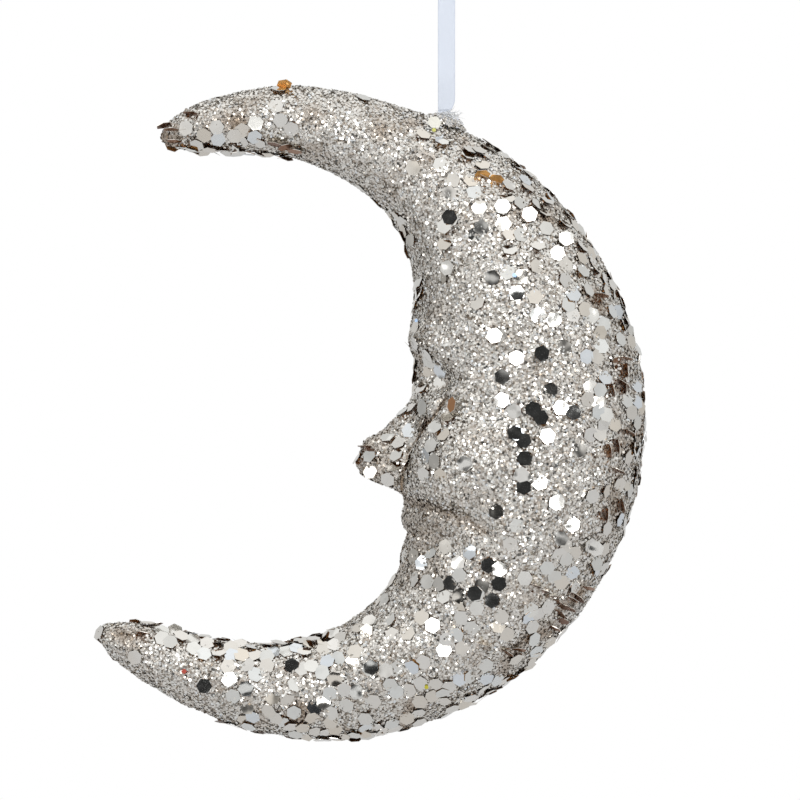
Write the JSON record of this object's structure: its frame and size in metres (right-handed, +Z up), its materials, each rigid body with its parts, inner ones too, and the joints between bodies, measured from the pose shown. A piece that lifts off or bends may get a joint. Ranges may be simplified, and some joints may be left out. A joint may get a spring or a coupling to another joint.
{
  "type": "crescent moon ornament",
  "caption": "Hanging crescent moon ornament with a face in profile, crusted in metallic glitter and hexagonal sequins, on a satin ribbon loop.",
  "frame": {"origin": "the hook's seat, inside the top of the ribbon loop, from which the ornament hangs", "axes": "+Z up along the hanging ribbon, +X from the side the face looks to towards the moon's round back, +Y from the pictured side to the other, through the moon's thickness"},
  "size_m": [0.1144, 0.041, 0.1922],
  "materials": {
    "foam": "matte",
    "glitter": "satin",
    "sequin": "polished",
    "hot_melt": "satin",
    "ribbon": "satin"
  },
  "bodies": {
    "ribbon_loop": {"ribbon_loop": "ribbon"},
    "ribbon_neck": {"ribbon_neck_front": "ribbon", "ribbon_neck_back": "ribbon"},
    "moon": {"foam_core": "foam", "glitter_coat": "glitter", "glue_plug": "hot_melt", "ribbon_tail_front": "ribbon", "ribbon_tail_back": "ribbon", "sequin_front_01": "sequin", "sequin_front_02": "sequin", "sequin_front_03": "sequin", "sequin_front_04": "sequin", "sequin_front_05": "sequin", "sequin_front_06": "sequin", "sequin_front_07": "sequin", "sequin_front_08": "sequin", "sequin_front_09": "sequin", "sequin_front_10": "sequin", "sequin_front_11": "sequin", "sequin_front_12": "sequin", "sequin_front_13": "sequin", "sequin_front_14": "sequin", "sequin_front_15": "sequin", "sequin_front_16": "sequin", "sequin_front_17": "sequin", "sequin_front_18": "sequin", "sequin_front_19": "sequin", "sequin_front_20": "sequin", "sequin_front_21": "sequin", "sequin_front_22": "sequin", "sequin_front_23": "sequin", "sequin_front_24": "sequin", "sequin_back_01": "sequin", "sequin_back_02": "sequin", "sequin_back_03": "sequin", "sequin_back_04": "sequin", "sequin_back_05": "sequin", "sequin_back_06": "sequin", "sequin_back_07": "sequin", "sequin_back_08": "sequin", "sequin_back_09": "sequin", "sequin_back_10": "sequin", "sequin_back_11": "sequin", "sequin_back_12": "sequin", "sequin_back_13": "sequin", "sequin_back_14": "sequin", "sequin_back_15": "sequin", "sequin_back_16": "sequin", "sequin_back_17": "sequin", "sequin_back_18": "sequin", "sequin_back_19": "sequin", "sequin_back_20": "sequin", "sequin_back_21": "sequin", "sequin_back_22": "sequin", "sequin_back_23": "sequin", "sequin_back_24": "sequin"}
  },
  "joints": [
    {"name": "ribbon_twist", "type": "hinge", "parent": "ribbon_loop", "child": "ribbon_neck", "pos_m": [0, 0, -0.052], "axis": [0, 0, 1], "range_deg": [-150, 150]},
    {"name": "moon_swing", "type": "hinge", "parent": "ribbon_neck", "child": "moon", "pos_m": [0, 0, -0.06], "axis": [1, 0, 0], "range_deg": [-75, 75]}
  ]
}
